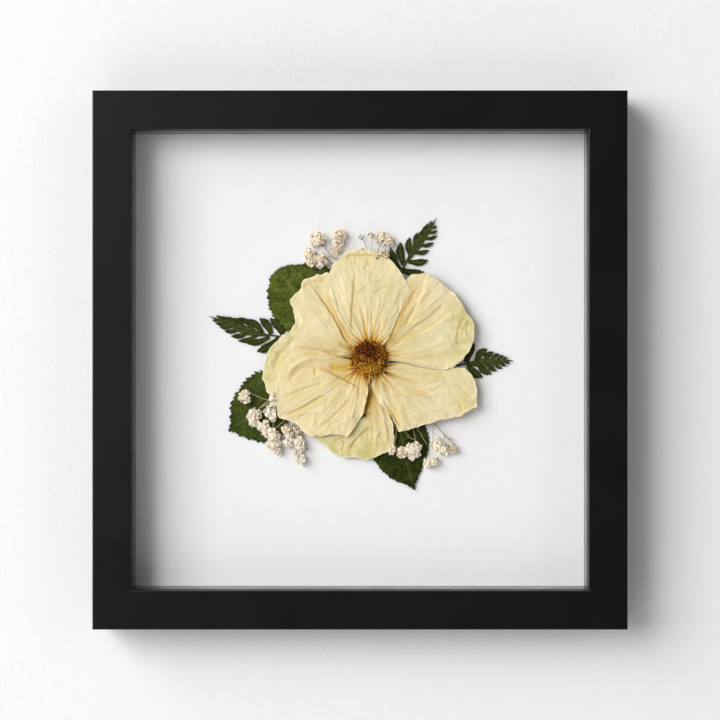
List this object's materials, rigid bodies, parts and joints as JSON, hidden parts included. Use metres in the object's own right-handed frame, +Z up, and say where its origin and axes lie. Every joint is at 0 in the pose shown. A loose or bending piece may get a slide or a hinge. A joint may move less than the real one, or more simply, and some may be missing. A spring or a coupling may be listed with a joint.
{
  "type": "float-mount shadow box frame",
  "caption": "Deep black box frame with glass, holding a dried flower with leaves and small blossoms over white paper; swivel tabs, hanging rings and bumpers on the back.",
  "frame": {"origin": "middle of the footprint at the level of the frame's underside", "axes": "+Z up the frame, +X to the right of someone facing the glass, -Y out through the glass and +Y towards the wall"},
  "size_m": [0.27, 0.0316, 0.272],
  "materials": {
    "black_lacquer": "satin black lacquer over fine-grained wood",
    "black_spacer": "matte black paint",
    "nail_steel": "bare rolled steel edge",
    "clear_glass": "clear float glass, polished",
    "white_paper": "cold-press cotton paper, matte",
    "core_board": "smooth mount board",
    "brown_hardboard": "pressed hardboard, smooth face",
    "zinc_plate": "zinc plated, slightly dull",
    "screw_steel": "zinc plated",
    "ring_nickel": "nickel plated wire",
    "grey_rubber": "matte rubber",
    "dried_stamens": "dried stamens, red-brown and golden",
    "dried_petal": "papery cream-yellow petal, matte with a soft sheen",
    "dried_leaf": "dried leaf, matte",
    "dried_fern": "dried fern, matte",
    "dried_blossom": "dried blossom, matte and slightly translucent"
  },
  "bodies": {
    "frame": {"back_panel": "brown_hardboard", "corner_nails": "nail_steel", "fern_left": "dried_fern", "fern_right": "dried_fern", "fern_top": "dried_fern", "flower_centre": "dried_stamens", "glazing": "clear_glass", "hanger_screws": "screw_steel", "hanger_strap_left": "zinc_plate", "hanger_strap_right": "zinc_plate", "leaf_bottom": "dried_leaf", "leaf_lower_left": "dried_leaf", "leaf_upper_left": "dried_leaf", "mount_board": "core_board", "mount_paper": "white_paper", "petal_bottom": "dried_petal", "petal_lower_left": "dried_petal", "petal_lower_right": "dried_petal", "petal_top": "dried_petal", "petal_upper_left": "dried_petal", "petal_upper_right": "dried_petal", "rail_bottom": "black_lacquer", "rail_left": "black_lacquer", "rail_right": "black_lacquer", "rail_top": "black_lacquer", "spacer_bottom": "black_spacer", "spacer_left": "black_spacer", "spacer_right": "black_spacer", "spacer_top": "black_spacer", "sprig_bottom": "dried_blossom", "sprig_lower_left": "dried_blossom", "sprig_top_left": "dried_blossom", "sprig_top_right": "dried_blossom", "turn_button_screws": "screw_steel", "wall_bumpers": "grey_rubber"},
    "d_ring_left": {"d_ring_left": "ring_nickel"},
    "d_ring_right": {"d_ring_right": "ring_nickel"},
    "turn_button_bottom_left": {"turn_button_bottom_left": "zinc_plate"},
    "turn_button_bottom_right": {"turn_button_bottom_right": "zinc_plate"},
    "turn_button_left_lower": {"turn_button_left_lower": "zinc_plate"},
    "turn_button_left_upper": {"turn_button_left_upper": "zinc_plate"},
    "turn_button_right_lower": {"turn_button_right_lower": "zinc_plate"},
    "turn_button_right_upper": {"turn_button_right_upper": "zinc_plate"},
    "turn_button_top_left": {"turn_button_top_left": "zinc_plate"},
    "turn_button_top_right": {"turn_button_top_right": "zinc_plate"}
  },
  "joints": [
    {"name": "turn_button_bottom_left_swivel", "type": "hinge", "parent": "frame", "child": "turn_button_bottom_left", "pos_m": [-0.08, 0.01255, 0.0069], "axis": [0, 1, 0], "range_deg": [-90, 90]},
    {"name": "turn_button_bottom_right_swivel", "type": "hinge", "parent": "frame", "child": "turn_button_bottom_right", "pos_m": [0.08, 0.01255, 0.0069], "axis": [0, 1, 0], "range_deg": [-90, 90]},
    {"name": "turn_button_left_lower_swivel", "type": "hinge", "parent": "frame", "child": "turn_button_left_lower", "pos_m": [-0.1281, 0.01255, 0.056], "axis": [0, 1, 0], "range_deg": [-90, 90]},
    {"name": "turn_button_left_upper_swivel", "type": "hinge", "parent": "frame", "child": "turn_button_left_upper", "pos_m": [-0.1281, 0.01255, 0.216], "axis": [0, 1, 0], "range_deg": [-90, 90]},
    {"name": "turn_button_right_lower_swivel", "type": "hinge", "parent": "frame", "child": "turn_button_right_lower", "pos_m": [0.1281, 0.01255, 0.056], "axis": [0, 1, 0], "range_deg": [-90, 90]},
    {"name": "turn_button_right_upper_swivel", "type": "hinge", "parent": "frame", "child": "turn_button_right_upper", "pos_m": [0.1281, 0.01255, 0.216], "axis": [0, 1, 0], "range_deg": [-90, 90]},
    {"name": "turn_button_top_left_swivel", "type": "hinge", "parent": "frame", "child": "turn_button_top_left", "pos_m": [-0.08, 0.01255, 0.2651], "axis": [0, 1, 0], "range_deg": [-90, 90]},
    {"name": "turn_button_top_right_swivel", "type": "hinge", "parent": "frame", "child": "turn_button_top_right", "pos_m": [0.08, 0.01255, 0.2651], "axis": [0, 1, 0], "range_deg": [-90, 90]},
    {"name": "d_ring_left_flip", "type": "hinge", "parent": "frame", "child": "d_ring_left", "pos_m": [-0.1274, 0.01345, 0.18], "axis": [1, 0, 0], "range_deg": [0, 172]},
    {"name": "d_ring_right_flip", "type": "hinge", "parent": "frame", "child": "d_ring_right", "pos_m": [0.1274, 0.01345, 0.18], "axis": [1, 0, 0], "range_deg": [0, 172]}
  ]
}
